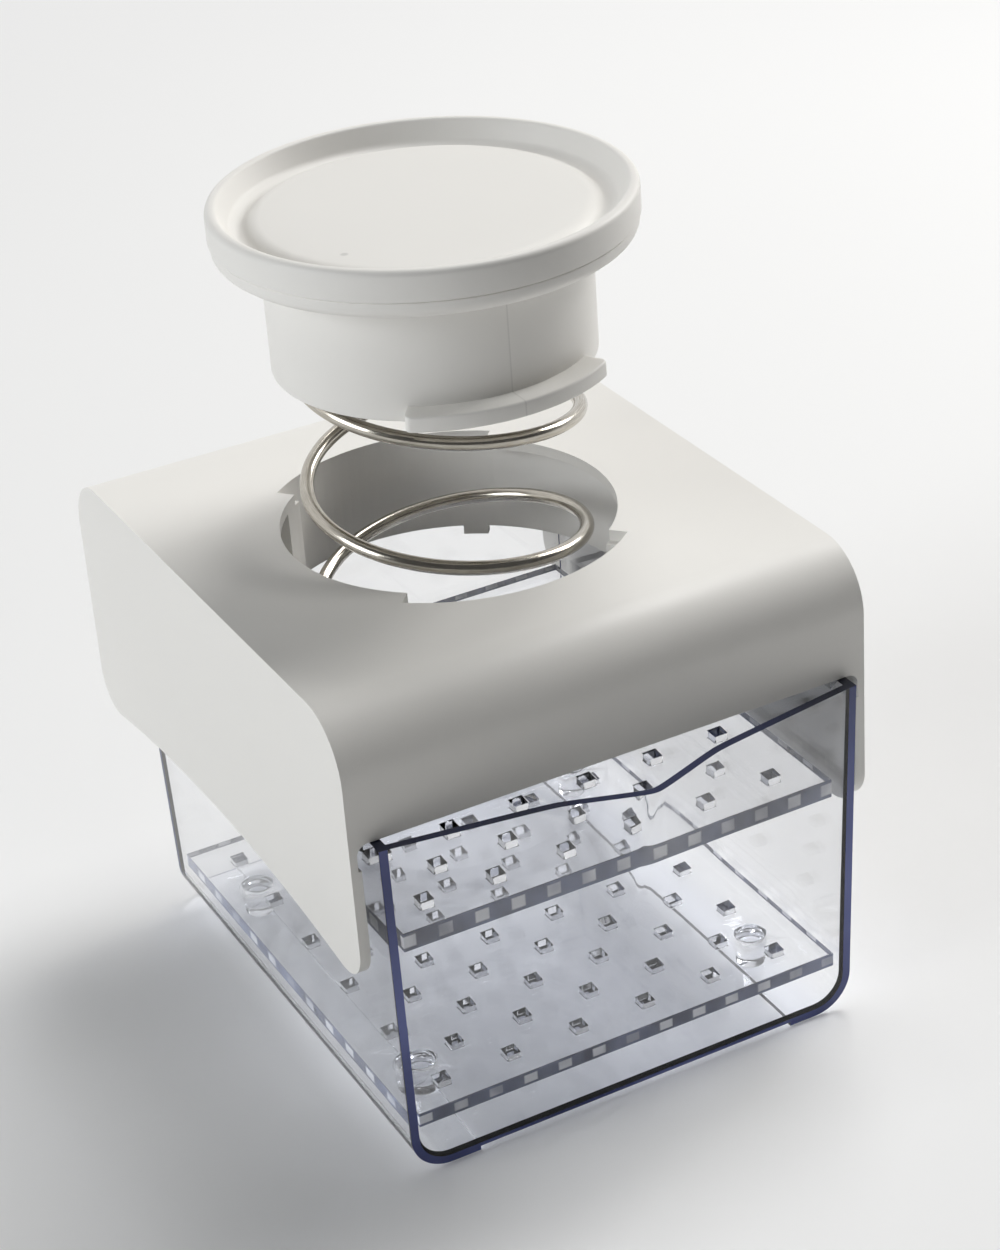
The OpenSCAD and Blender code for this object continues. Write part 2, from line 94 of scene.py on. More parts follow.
# Knob: radii from its axis, and heights above the lower edge of its skirt
skirt_low = 175.0
skirt_radius, skirt_inside, ceiling = 41.1, 38.6, 34.0
lug_radius, lug_height, lug_half_angle, lug_round = 47.6, 4.2, 36.0, 1.6
head_radius, head_low, seam, rim = 53.2, 31.0, 35.5, 43.4
seam_depth, band_step = 0.75, 0.4
disc_radius, disc_height = 41.8, 39.4
groove_radius, groove_height = 45.0, 36.9        # ring groove round the disc
locator_outside, locator_inside, locator_low = 30.4, 28.25, 29.0
# The gate leaves a small dimple on the disc; its shade is painted on the knob's colour.
gate_x, gate_y = -30.0, -18.0                    # spot on the disc, from the knob's axis

# Spring
coil_radius, wire, coil_pitch, coil_turns = 35.52, 3.75, 34.1, 5.75
coil_gap = 0.7           # room between the closed end coils
coil_low, coil_high = 70.6, 208.9
coil_angle = -192.9      # angle of the wire half way up
wire_rings, wire_sides = 621, 24
tip_reach = 0.1          # how far each rounded tip stands past the wire's end ring

# Line where two streams of plastic met on the rear of the cover's collar
weld_line_x, weld_line_top = 4.2, 129.0
collar_inside, collar_outside = 38.0, 46.0       # reach of the collar behind the hole's axis


# ---------------------------------------------------------------------------
# Shape helpers
# ---------------------------------------------------------------------------

def squares(rows, cols, wrap=False):
    """Corner numbers of the squares between neighbouring points of a grid numbered
    row by row. With wrap, the last column joins the first."""
    r, c = np.meshgrid(np.arange(rows - 1), np.arange(cols if wrap else cols - 1), indexing="ij")
    right = (c + 1) % cols
    corners = [r * cols + c, r * cols + right, (r + 1) * cols + right, (r + 1) * cols + c]
    return np.stack(corners, -1).reshape(-1, 4)


def round_corners(corners, radii, steps):
    """Path through the corners with each one replaced by an arc of its radius: the arc
    touches both sides at radius * tan(half the turn) from the corner."""
    corners = np.asarray(corners, float)
    path = [corners[:1]]
    for before, here, after, radius in zip(corners, corners[1:], corners[2:], radii[1:]):
        if radius <= 0:
            path.append(here[None])
            continue
        a = (before - here) / np.linalg.norm(before - here)
        b = (after - here) / np.linalg.norm(after - here)
        half = math.acos(float(np.clip(a @ b, -1, 1))) / 2
        middle = (a + b) / np.linalg.norm(a + b)
        centre = here + middle * radius / math.sin(half)
        first = here + a * radius / math.tan(half) - centre
        last = here + b * radius / math.tan(half) - centre
        span = math.pi - 2 * half
        t = np.linspace(0, 1, steps + 1)[:, None]
        arc = (np.sin((1 - t) * span) * first + np.sin(t * span) * last) / math.sin(span)
        path.append(centre + arc)
    path.append(corners[-1:])
    return np.concatenate(path)


def make_piece(name, points, faces, material, body, node, weld=True, sharp=35, edge=None):
    """One mesh object from points in millimetres, riding on a body and standing for a node.
    Welding joins points that lie together and turns all faces outwards. edge is further
    materials and a number per face: 0 for the first material, then 1 and up."""
    mesh = bpy.data.meshes.new(name)
    mesh.from_pydata((np.asarray(points) * MM).tolist(), [], [list(corners) for corners in faces])
    mesh.materials.append(material)
    if edge:
        for extra in edge[0]:
            mesh.materials.append(extra)
        mesh.polygons.foreach_set("material_index", np.asarray(edge[1], np.int32))
    if weld:
        shape = bmesh.new()
        shape.from_mesh(mesh)
        bmesh.ops.remove_doubles(shape, verts=shape.verts, dist=weld_reach)
        bmesh.ops.dissolve_degenerate(shape, edges=shape.edges, dist=weld_reach)
        bmesh.ops.recalc_face_normals(shape, faces=shape.faces)
        shape.to_mesh(mesh)
        shape.free()
    mesh.shade_smooth()
    mesh.set_sharp_from_angle(angle=math.radians(sharp))
    piece = bpy.data.objects.new(name, mesh)
    bpy.context.scene.collection.objects.link(piece)
    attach(piece, body)
    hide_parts(node)
    return piece


def soften_edges(piece, width, segments=2, angle=35):
    """Rounds every edge sharper than the angle."""
    bevel = piece.modifiers.new("soft_edges", "BEVEL")
    bevel.width = width * MM
    bevel.segments = segments
    bevel.limit_method = "ANGLE"
    bevel.angle_limit = math.radians(angle)
    bevel.use_clamp_overlap = True


# ---------------------------------------------------------------------------
# Materials
# ---------------------------------------------------------------------------

def new_group(name, inputs, outputs):
    """Empty shader group with named number or colour sockets."""
    group = bpy.data.node_groups.new(name, "ShaderNodeTree")
    for label, kind, value in inputs:
        socket = group.interface.new_socket(name=label, in_out="INPUT", socket_type=kind)
        socket.default_value = value
    for label, kind in outputs:
        group.interface.new_socket(name=label, in_out="OUTPUT", socket_type=kind)
    return group, group.nodes.new("NodeGroupInput"), group.nodes.new("NodeGroupOutput")


def add(tree, kind, links=None, **values):
    """Adds a node, sets its attributes, and feeds its sockets with links or constants."""
    node = tree.nodes.new(kind)
    for key, value in values.items():
        setattr(node, key, value)
    for key, value in (links or {}).items():
        if isinstance(value, bpy.types.NodeSocket):
            tree.links.new(value, node.inputs[key])
        else:
            node.inputs[key].default_value = value
    return node


def maths(tree, operation, *values):
    """Result of one arithmetic node, fed with links or constants."""
    return add(tree, "ShaderNodeMath", dict(enumerate(values)), operation=operation).outputs[0]


def carried(tree, value, low, high, to_low=0.0, to_high=1.0, **kind):
    """A value carried from one range to another and held at its ends."""
    links = {"Value": value, "From Min": low, "From Max": high, "To Min": to_low, "To Max": to_high}
    return add(tree, "ShaderNodeMapRange", links, **kind).outputs[0]


def cloudy(tree, place, scale, detail):
    """Noise from 0 to 1 at a place."""
    return add(tree, "ShaderNodeTexNoise", {"Vector": place, "Scale": scale, "Detail": detail}).outputs["Fac"]


def mixed(tree, share, first, second):
    """Colour between two others."""
    return add(tree, "ShaderNodeMix", {0: share, 6: first, 7: second}, data_type="RGBA").outputs[2]


def moulded_surface_group():
    """Fine spark-eroded grain and slow mottling of moulded plastic: the mottling changes
    the brightness of the colour and the roughness, and the grain is the height."""
    group, start, end = new_group(
        "moulded_surface",
        [("Coordinates", "NodeSocketVector", (0, 0, 0)), ("Colour", "NodeSocketColor", (0.8, 0.8, 0.8, 1)),
         ("Mottle", "NodeSocketFloat", 0.03), ("Roughness", "NodeSocketFloat", 0.5),
         ("Grain", "NodeSocketFloat", 2600.0)],
        [("Colour", "NodeSocketColor"), ("Roughness", "NodeSocketFloat"), ("Height", "NodeSocketFloat")])
    place = start.outputs["Coordinates"]
    centred = maths(group, "SUBTRACT", cloudy(group, place, 38.0, 3.0), 0.5)
    level = maths(group, "ADD", maths(group, "MULTIPLY", centred, start.outputs["Mottle"]), 1.0)
    shade = add(group, "ShaderNodeHueSaturation", {"Color": start.outputs["Colour"], "Value": level})
    rough = maths(group, "ADD", maths(group, "MULTIPLY", centred, 0.25), start.outputs["Roughness"])
    group.links.new(shade.outputs["Color"], end.inputs["Colour"])
    group.links.new(rough, end.inputs["Roughness"])
    group.links.new(cloudy(group, place, start.outputs["Grain"], 2.0), end.inputs["Height"])
    return group


def handled_gloss_group():
    """Roughness of a polished surface with faint upright wiping marks, and its slow waves."""
    group, start, end = new_group(
        "handled_gloss",
        [("Coordinates", "NodeSocketVector", (0, 0, 0)), ("Polish", "NodeSocketFloat", 0.02),
         ("Marks", "NodeSocketFloat", 0.05)],
        [("Roughness", "NodeSocketFloat"), ("Height", "NodeSocketFloat")])
    place = start.outputs["Coordinates"]
    stretch = add(group, "ShaderNodeMapping", {"Vector": place, "Scale": (30.0, 30.0, 90.0)})
    wipe = cloudy(group, stretch.outputs[0], 1.0, 4.0)
    marks = carried(group, wipe, 0.52, 0.8, 0.0, start.outputs["Marks"])
    group.links.new(maths(group, "ADD", marks, start.outputs["Polish"]), end.inputs["Roughness"])
    group.links.new(cloudy(group, place, 22.0, 1.0), end.inputs["Height"])
    return group


def blue_edge_group():
    """Colour of a cut edge of clear plastic, where light that ran along inside the wall
    comes out: deep blue, in slow streaks from dark to pale."""
    group, start, end = new_group(
        "blue_edge",
        [("Coordinates", "NodeSocketVector", (0, 0, 0)), ("Dark", "NodeSocketColor", (0.02, 0.03, 0.10, 1)),
         ("Pale", "NodeSocketColor", (0.12, 0.15, 0.34, 1)), ("Streaks", "NodeSocketFloat", 14.0)],
        [("Colour", "NodeSocketColor")])
    drift = cloudy(group, start.outputs["Coordinates"], start.outputs["Streaks"], 2.0)
    tone = mixed(group, carried(group, drift, 0.35, 0.68), start.outputs["Dark"], start.outputs["Pale"])
    group.links.new(tone, end.inputs["Colour"])
    return group


moulded_surface = moulded_surface_group()
handled_gloss = handled_gloss_group()
blue_edge = blue_edge_group()


def new_material(name):
    """Material with an empty tree, its output and its texture coordinates."""
    material = bpy.data.materials.new(name)
    material.use_nodes = True
    tree = material.node_tree
    tree.nodes.clear()
    return material, tree, tree.nodes.new("ShaderNodeOutputMaterial"), tree.nodes.new("ShaderNodeTexCoord")


def thin_line(tree, coordinate, centre):
    """Mask of a line about 0.4 mm wide, where a coordinate has one value."""
    aside = maths(tree, "ABSOLUTE", maths(tree, "SUBTRACT", coordinate, centre * MM))
    return carried(tree, aside, 0.10 * MM, 0.28 * MM, 1.0, 0.0)


def knob_ridge_and_dimple_shade(tree, place):
    """Mask of painted shade on the knob: along the thin ridge down the skirt where the mould
    parts, and in the small dimple on the disc where the plastic flowed in."""
    spot = add(tree, "ShaderNodeSeparateXYZ", {0: place.outputs["Object"]})
    head_edge = (skirt_low + head_low) * MM
    below = carried(tree, spot.outputs[2], head_edge - 0.3 * MM, head_edge, 0.45, 0.0)
    # Painted shade along the mould's thin parting ridge, faint, on the skirt only.
    parting_ridge_shade = maths(tree, "MULTIPLY", thin_line(tree, spot.outputs[0], 0.0), below)
    gate = (gate_x * MM, (hole_y + gate_y) * MM, (skirt_low + disc_height) * MM)
    away = add(tree, "ShaderNodeVectorMath", {0: place.outputs["Object"], 1: gate}, operation="DISTANCE")
    # Painted shade in the gate's small dimple on the disc.
    gate_dimple_shade = carried(tree, away.outputs["Value"], 0.6 * MM, 1.2 * MM, 0.8, 0.0)
    return maths(tree, "MAXIMUM", parting_ridge_shade, gate_dimple_shade)


def cover_marks(tree, place):
    """Mask of the line down the rear of the hole's collar, where two streams of plastic met."""
    spot = add(tree, "ShaderNodeSeparateXYZ", {0: place.outputs["Object"]})
    behind = maths(tree, "GREATER_THAN", spot.outputs[1], (hole_y + collar_inside) * MM)
    within = maths(tree, "LESS_THAN", spot.outputs[1], (hole_y + collar_outside) * MM)
    under = maths(tree, "LESS_THAN", spot.outputs[2], weld_line_top * MM)
    collar = maths(tree, "MULTIPLY", maths(tree, "MULTIPLY", behind, within), under)
    return maths(tree, "MULTIPLY", thin_line(tree, spot.outputs[0], weld_line_x), collar)


def white_plastic(name, colour, roughness, marks):
    """Off-white matte plastic with a fine moulded grain, darker where its marks are; on the knob these marks
    are painted shade of a ridge and a dimple.
    """
    material, tree, output, place = new_material(name)
    grain = add(tree, "ShaderNodeGroup", node_tree=moulded_surface)
    tree.links.new(place.outputs["Object"], grain.inputs["Coordinates"])
    grain.inputs["Colour"].default_value = (*colour, 1)
    grain.inputs["Roughness"].default_value = roughness
    bump = add(tree, "ShaderNodeBump", {
        "Height": grain.outputs["Height"], "Strength": 0.06, "Distance": 0.0002})
    # Darker colour for the marks: the cover's weld line, and painted shade on the knob.
    mark_and_shade_colour = (*(0.72 * part for part in colour), 1)
    skin = add(tree, "ShaderNodeBsdfPrincipled", {
        "Base Color": mixed(tree, marks(tree, place), grain.outputs["Colour"], mark_and_shade_colour),
        "Roughness": grain.outputs["Roughness"], "Normal": bump.outputs["Normal"], "IOR": 1.49,
        "Specular IOR Level": 0.45})
    tree.links.new(skin.outputs[0], output.inputs["Surface"])
    return material


def clear_plastic(name, tint, density, polish):
    """Clear polished plastic, a little blue over a long path. Lamps shine through it,
    dimmed as much at each face as the real walls dim them."""
    material, tree, output, place = new_material(name)
    gloss = add(tree, "ShaderNodeGroup", node_tree=handled_gloss)
    tree.links.new(place.outputs["Object"], gloss.inputs["Coordinates"])
    gloss.inputs["Polish"].default_value = polish
    gloss.inputs["Marks"].default_value = 0.04
    bump = add(tree, "ShaderNodeBump", {
        "Height": gloss.outputs["Height"], "Strength": 0.002, "Distance": 0.001})
    clear = add(tree, "ShaderNodeBsdfPrincipled", {
        "Base Color": (0.98, 0.983, 0.988, 1), "Roughness": gloss.outputs["Roughness"],
        "Normal": bump.outputs["Normal"], "IOR": 1.50, "Transmission Weight": 1.0})
    passing = add(tree, "ShaderNodeBsdfTransparent", {"Color": (0.88, 0.885, 0.90, 1)})
    path = add(tree, "ShaderNodeLightPath")
    choice = add(tree, "ShaderNodeMixShader", {
        0: path.outputs["Is Shadow Ray"], 1: clear.outputs[0], 2: passing.outputs[0]})
    soak = add(tree, "ShaderNodeVolumeAbsorption", {"Color": (*tint, 1), "Density": density})
    tree.links.new(choice.outputs[0], output.inputs["Surface"])
    tree.links.new(soak.outputs[0], output.inputs["Volume"])
    return material


def blue_tone(tree, place, dark, pale, streaks=14.0):
    """Colour from the blue edge group with its own dark, pale and streaks."""
    tone = add(tree, "ShaderNodeGroup", node_tree=blue_edge)
    tree.links.new(place.outputs["Object"], tone.inputs["Coordinates"])
    tone.inputs["Dark"].default_value = (*dark, 1)
    tone.inputs["Pale"].default_value = (*pale, 1)
    tone.inputs["Streaks"].default_value = streaks
    return tone.outputs["Colour"]


def wall_edge(name, dark, pale):
    """Polished rim of the container's walls."""
    material, tree, output, place = new_material(name)
    rim_skin = add(tree, "ShaderNodeBsdfPrincipled", {
        "Base Color": blue_tone(tree, place, dark, pale), "Roughness": 0.12, "IOR": 1.5})
    tree.links.new(rim_skin.outputs[0], output.inputs["Surface"])
    return material


def plate_edge(name):
    """Edge of a drilled plate: grey blue, with a light window where the holes behind it
    let light through. The edge's map counts one unit per window across, so a window is
    where the cosine of a full turn per unit is high, and one unit per thickness up."""
    material, tree, output, place = new_material(name)
    tone = blue_tone(tree, place, (0.050, 0.062, 0.125), (0.17, 0.20, 0.33), 90.0)
    spot = add(tree, "ShaderNodeSeparateXYZ", {0: place.outputs["UV"]})
    wave = maths(tree, "COSINE", maths(tree, "MULTIPLY", spot.outputs[0], 2 * math.pi))
    wide = carried(tree, wave, 0.25, 0.5)
    height = maths(tree, "ABSOLUTE", maths(tree, "SUBTRACT", spot.outputs[1], 0.52))
    tall = carried(tree, height, 0.27, 0.34, 1.0, 0.0)
    share = carried(tree, cloudy(tree, place.outputs["Object"], 75.0, 1.0), 0.36, 0.56, 0.3)
    window = maths(tree, "MULTIPLY", maths(tree, "MULTIPLY", wide, tall), share)
    edge_skin = add(tree, "ShaderNodeBsdfPrincipled", {
        "Base Color": mixed(tree, window, tone, (0.88, 0.89, 0.93, 1)), "Roughness": 0.15, "IOR": 1.5})
    tree.links.new(edge_skin.outputs[0], output.inputs["Surface"])
    return material


def spring_steel(name):
    """Bright drawn wire with fine lines along its length."""
    material, tree, output, place = new_material(name)
    lines = add(tree, "ShaderNodeMapping", {"Vector": place.outputs["UV"], "Scale": (6.0, 90.0, 1.0)})
    drawn = cloudy(tree, lines.outputs[0], 1.0, 3.0)
    tone = add(tree, "ShaderNodeValToRGB", {"Fac": drawn})
    dark, bright = tone.color_ramp.elements
    dark.position, dark.color = 0.25, (0.30, 0.27, 0.22, 1)
    bright.position, bright.color = 0.7, (0.64, 0.61, 0.55, 1)
    bump = add(tree, "ShaderNodeBump", {"Height": drawn, "Strength": 0.06, "Distance": 0.0001})
    metal = add(tree, "ShaderNodeBsdfPrincipled", {
        "Base Color": tone.outputs["Color"], "Roughness": carried(tree, drawn, 0.3, 0.7, 0.12, 0.24),
        "Metallic": 1.0, "Normal": bump.outputs["Normal"]})
    tree.links.new(metal.outputs[0], output.inputs["Surface"])
    return material


off_white = (0.80, 0.785, 0.752)
soaked_blue = (0.35, 0.45, 0.80)
white_cover = white_plastic("off_white_cover_plastic", off_white, 0.46, cover_marks)
white_knob = white_plastic("off_white_knob_plastic", off_white, 0.48, knob_ridge_and_dimple_shade)
clear_shell = clear_plastic("clear_container_plastic", soaked_blue, 3.0, 0.01)
clear_plate = clear_plastic("clear_plate_plastic", soaked_blue, 6.0, 0.02)
shell_rim = wall_edge("container_rim_blue", (0.028, 0.038, 0.145), (0.14, 0.17, 0.44))
shell_top = wall_edge("container_top_edge", (0.008, 0.010, 0.022), (0.03, 0.036, 0.09))
plate_rim = plate_edge("plate_edge_blue")
steel = spring_steel("drawn_spring_steel")


# ---------------------------------------------------------------------------
# Knob
# ---------------------------------------------------------------------------

def knob_profile():
    """Half section of the knob from the middle of its disc, over the rim, down the
    skirt and up inside to the middle of the ceiling. Each corner has its radius, its height
    above the skirt's edge and how far it is rounded."""
    band_radius = head_radius - band_step
    corners = np.array([
        (0.0, disc_height, 0), (disc_radius, disc_height, 5.5), (groove_radius, groove_height, 2.6),
        (groove_radius + 2.6, groove_height + 1.3, 3.0), (head_radius - 2.6, rim, 1.2),
        (head_radius, rim, 1.7), (head_radius, seam + 0.25, 0.2),
        (head_radius - seam_depth, seam, 0.1), (band_radius, seam - 0.25, 0.2),
        (band_radius, head_low, 3.0), (skirt_radius, head_low, 1.0), (skirt_radius, 0.0, 0.6),
        (skirt_inside, 0.0, 0.6), (skirt_inside, ceiling, 1.0), (locator_outside, ceiling, 0.5),
        (locator_outside, locator_low, 0.4), (locator_inside, locator_low, 0.4),
        (locator_inside, ceiling, 0.5), (0.0, ceiling, 0)])
    return round_corners(corners[:, :2], corners[:, 2], 6)


def turned(profile, z_low, angles):
    """Surface of revolution about the hole's axis: x = r cos a, y = hole_y + r sin a, z = height."""
    r, z = profile[:, 0, None], profile[:, 1, None]
    a = np.radians(angles)[None]
    points = np.stack([r * np.cos(a), hole_y + r * np.sin(a), z + z_low + 0 * a], -1)
    return points.reshape(-1, 3), squares(len(profile), len(angles), wrap=True)


def swept_sector(section, z_low, a_from, a_to, end_round):
    """Closed section carried round the axis from one angle to another: x = r cos a,
    y = hole_y + r sin a. Near both ends the outer radius is drawn in along a quarter
    circle, by end_round * (1 - sqrt(1 - (1 - t)^2)) at a share t of the rounding. Both
    ends are closed."""
    inner_r, outer_r = section[:, 0].min(), section[:, 0].max()
    edge = np.degrees(end_round / outer_r)
    quarter = 1 - np.cos(np.linspace(0, math.pi / 2, 6))
    between = np.linspace(a_from + edge, a_to - edge, 36)[1:-1]
    angles = np.concatenate([a_from + edge * quarter, between, (a_to - edge * quarter)[::-1]])
    into = np.minimum(angles - a_from, a_to - angles) / edge
    draw = end_round * (1 - np.sqrt(np.clip(1 - (1 - np.minimum(into, 1)) ** 2, 0, 1)))
    share = (section[:, 0] - inner_r) / (outer_r - inner_r)
    r = section[None, :, 0] - draw[:, None] * share[None]
    a = np.radians(angles)[:, None]
    points = np.stack([r * np.cos(a), hole_y + r * np.sin(a), section[None, :, 1] + z_low + 0 * a], -1)
    n = len(section)
    ends = [list(range(n - 1, -1, -1)), list(range((len(angles) - 1) * n, len(angles) * n))]
    return points.reshape(-1, 3), squares(len(angles), n, wrap=True).tolist() + ends


def joined(*parts):
    """Several point and face sets as one."""
    faces, count = [], 0
    for points, corners in parts:
        faces += [[number + count for number in face] for face in corners]
        count += len(points)
    return np.concatenate([points for points, _ in parts]), faces


def make_knob():
    """The turned knob with two lugs, each a rounded section swept out of the skirt's edge.
    The section's inner end lies within the skirt's wall."""
    body = turned(knob_profile(), skirt_low, np.linspace(0, 360, 240, endpoint=False))
    within = skirt_radius - 1
    section = round_corners([
        (skirt_radius, 0.0), (lug_radius, 0.0), (lug_radius, lug_height), (within, lug_height),
        (within, lug_height - 2.0)], [0, 0.7, 0.7, 0, 0], 4)
    lugs = [swept_sector(section, skirt_low, middle - lug_half_angle, middle + lug_half_angle, lug_round)
            for middle in (90, 270)]
    points, faces = joined(body, *lugs)
    make_piece("knob_moulding", points, faces, white_knob, "knob", "knob", sharp=40)


# ---------------------------------------------------------------------------
# Spring
# ---------------------------------------------------------------------------

def spring_line():
    """Middle line of the wire: a left-hand helix x = r cos a, y = hole_y + r sin a, whose
    height falls by the running sum of the pitch. The pitch per turn is the closed one in the
    end coils and coil_pitch between them, and a logistic curve leads from one to the other.
    Returns the line, its direction, and the direction away from the axis."""
    end_pitch = wire + coil_gap
    low, high = coil_low + wire / 2, coil_high - wire / 2
    open_turns = (high - low - coil_turns * end_pitch) / (coil_pitch - end_pitch)
    t = np.linspace(-coil_turns / 2, coil_turns / 2, wire_rings)
    blend = 1 / (1 + np.exp((np.abs(t) - open_turns / 2) / 0.045))
    pitch = end_pitch + (coil_pitch - end_pitch) * blend
    drop = np.concatenate([[0], np.cumsum((pitch[1:] + pitch[:-1]) / 2 * np.diff(t))])
    drop *= (high - low) / drop[-1]
    a = np.radians(coil_angle + 360 * t)
    out = np.stack([np.cos(a), np.sin(a), 0 * a], -1)
    middle = coil_radius * out + np.stack([0 * a, 0 * a + hole_y, high - drop], -1)
    run = 2 * math.pi * coil_radius
    along = np.stack([-np.sin(a) * run, np.cos(a) * run, -pitch], -1)
    return middle, along / np.linalg.norm(along, axis=1)[:, None], out


def make_spring():
    """Round wire along its middle line, drawn in at both tips, with a fan of triangles over
    each tip. Its map runs along the wire and once round it."""
    middle, along, out = spring_line()
    up = np.cross(out, along)
    size = np.full(len(middle), wire / 2)
    size[[1, -2]] *= 0.72
    size[[2, -3]] *= 0.96
    middle[1] -= along[1] * tip_reach
    middle[-2] += along[-2] * tip_reach
    b = np.linspace(0, 2 * math.pi, wire_sides, endpoint=False)[:, None]
    ring = np.cos(b) * out[1:-1, None] + np.sin(b) * up[1:-1, None]
    points = (middle[1:-1, None] + size[1:-1, None, None] * ring).reshape(-1, 3)
    tips = middle[[1, -2]]
    rings = wire_rings - 2
    skin = squares(rings, wire_sides, wrap=True)[:, ::-1].tolist()
    last = (rings - 1) * wire_sides
    here = np.arange(wire_sides).tolist()
    following = here[1:] + here[:1]
    caps = [[len(points), a, b] for a, b in zip(here, following)]
    caps += [[len(points) + 1, last + b, last + a] for a, b in zip(here, following)]
    piece = make_piece("spring_wire", np.concatenate([points, tips]), skin + caps, steel, "spring", "spring",
                       weld=False, sharp=60)
    r, c = np.meshgrid(np.arange(rings - 1), np.arange(wire_sides), indexing="ij")
    u = np.stack([r + 1, r + 1, r, r], -1) / wire_rings * 40
    v = np.stack([c, c + 1, c + 1, c], -1) / wire_sides
    round_wire = np.stack([u, v], -1).reshape(-1, 2)
    at_tips = np.zeros((len(caps) * 3, 2))
    layer = piece.data.uv_layers.new(name="wire")
    layer.data.foreach_set("uv", np.concatenate([round_wire, at_tips]).astype(np.float32).ravel())
    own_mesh(piece)


# ---------------------------------------------------------------------------
# Drain tray and press plate
# ---------------------------------------------------------------------------

def drilled_slab(half_w, half_d, low, high, foot_low=None):
    """Slab whose top is a grid with the cells of the drain holes left out. The grid's lines
    are each column's and row's middle plus and minus half a hole. Rows of six and five
    holes take turns. A wall stands on each side where a kept cell meets an empty one. With
    foot_low, four round feet grow out of the underside down to that height. Returns the
    points, the faces, and a 1 for each face of the outer edge."""
    half = drain_hole / 2
    columns = (np.arange(column_count) - (column_count - 1) / 2) * hole_pitch / 2
    rows = (np.arange(row_count) - (row_count - 1) / 2) * row_pitch
    xs = np.concatenate([[-half_w], np.stack([columns - half, columns + half], -1).ravel(), [half_w]])
    ys = np.concatenate([[-half_d], np.stack([rows - half, rows + half], -1).ravel(), [half_d]]) + middle_y
    nx, ny = len(xs), len(ys)
    kept = np.zeros((ny + 1, nx + 1), bool)
    kept[1:-1, 1:-1] = True
    j, i = np.meshgrid(np.arange(row_count), np.arange(column_count), indexing="ij")
    holes = (j + i) % 2 == 0
    kept[2 * j[holes] + 2, 2 * i[holes] + 2] = False
    gx, gy = np.meshgrid(xs, ys)
    top = np.stack([gx, gy, 0 * gx + high], -1).reshape(-1, 3)
    bottom = top - [0, 0, high - low]
    n = nx * ny
    under = kept[1:-1, 1:-1].copy()
    points, faces = [top, bottom], squares(ny, nx)[under.ravel()].tolist()
    if foot_low is not None:
        for column, row in itertools.product((0, column_count - 1), (1, row_count - 2)):
            under[2 * row:2 * row + 3, 2 * column:2 * column + 3] = False
            centre = (columns[column], rows[row] + middle_y)
            loop = n + around_block(2 * row, 2 * column, 3) @ [nx, 1]
            start = sum(len(part) for part in points)
            more, skirt = foot(centre, bottom[loop - n, :2] - centre, loop.tolist(), start, low, foot_low)
            points.append(more)
            faces += skirt
    faces += (squares(ny, nx)[under.ravel()][:, ::-1] + n).tolist()
    edge = [np.zeros(len(faces))]
    for grid, step, count, other in ((kept[1:-1], 1, nx, nx), (kept[:, 1:-1].T, nx, ny, 1)):
        before, after = grid[:, :-1], grid[:, 1:]
        jj, ii = np.meshgrid(np.arange(len(grid)), np.arange(count), indexing="ij")
        for side in (before & ~after, ~before & after):
            a = (jj * other + ii * step)[side]
            b = a + other
            faces += np.stack([a, a + n, b + n, b], -1).tolist()
            edge.append((ii[side] == 0) | (ii[side] == count - 1))
    return np.concatenate(points), faces, np.concatenate(edge).astype(int)


def around_block(row, column, size):
    """Grid points (row, column) in turn round a square block of cells."""
    k = np.arange(size)
    sides = [(row + 0 * k, column + k), (row + k, column + size + 0 * k),
             (row + size + 0 * k, column + size - k), (row + size - k, column + 0 * k)]
    return np.concatenate([np.stack(side, -1) for side in sides])


def foot(centre, ends, corners, start, high, low):
    """Round foot below a gap in a slab's underside. ends are the gap's corners seen from
    the foot's middle. Four circle points stand at each corner's angle and on the way to
    the next. Circles x = r cos a, y = r sin a, carried down and the last drawn to a point,
    make the foot. Its faces count from start."""
    angles = np.unwrap(np.arctan2(ends[:, 1], ends[:, 0]))
    following = np.append(angles[1:], angles[0] + 2 * math.pi * np.sign(angles[1] - angles[0]))
    a = (angles[:, None] + (following - angles)[:, None] * np.arange(4) / 4).ravel()
    r = foot_radius + np.array([0.5, 0.15, 0.0, 0.0, -0.5, -foot_radius])[:, None]
    z = np.array([high, high - 0.15, high - 0.5, low + 0.5, low, low])[:, None]
    circles = np.stack([centre[0] + r * np.cos(a), centre[1] + r * np.sin(a), z + 0 * a], -1).reshape(-1, 3)
    count, n = len(corners), len(a)
    faces = (squares(len(r), n, wrap=True) + start).tolist()
    for k in range(count):
        arc = [start + (4 * k + m) % n for m in range(5)]
        faces.append([corners[k], corners[(k + 1) % count]] + arc[::-1])
    return circles, faces


def make_slab(name, node, half_w, half_d, low, high, foot_low=None):
    """Drilled slab whose outer edge has its own material and map: across, one unit per
    window, and up, one unit per thickness."""
    points, faces, edge = drilled_slab(half_w, half_d, low, high, foot_low)
    piece = make_piece(name, points, faces, clear_plate, node, node, edge=([plate_rim], edge))
    mesh = piece.data
    place, corner = np.empty(3 * len(mesh.vertices)), np.empty(len(mesh.loops), int)
    mesh.vertices.foreach_get("co", place)
    mesh.loops.foreach_get("vertex_index", corner)
    x, y, z = (place.reshape(-1, 3)[corner] / MM).T
    faces_x = np.repeat([abs(face.normal.x) > 0.5 for face in mesh.polygons],
                        [face.loop_total for face in mesh.polygons])
    u = np.where(faces_x, (y - middle_y) / row_pitch, x / (hole_pitch / 2))
    layer = mesh.uv_layers.new(name="edge")
    layer.data.foreach_set("uv", np.stack([u, (z - low) / (high - low)], -1).astype(np.float32).ravel())
    soften_edges(piece, 0.22)


# ---------------------------------------------------------------------------
# Container
# ---------------------------------------------------------------------------

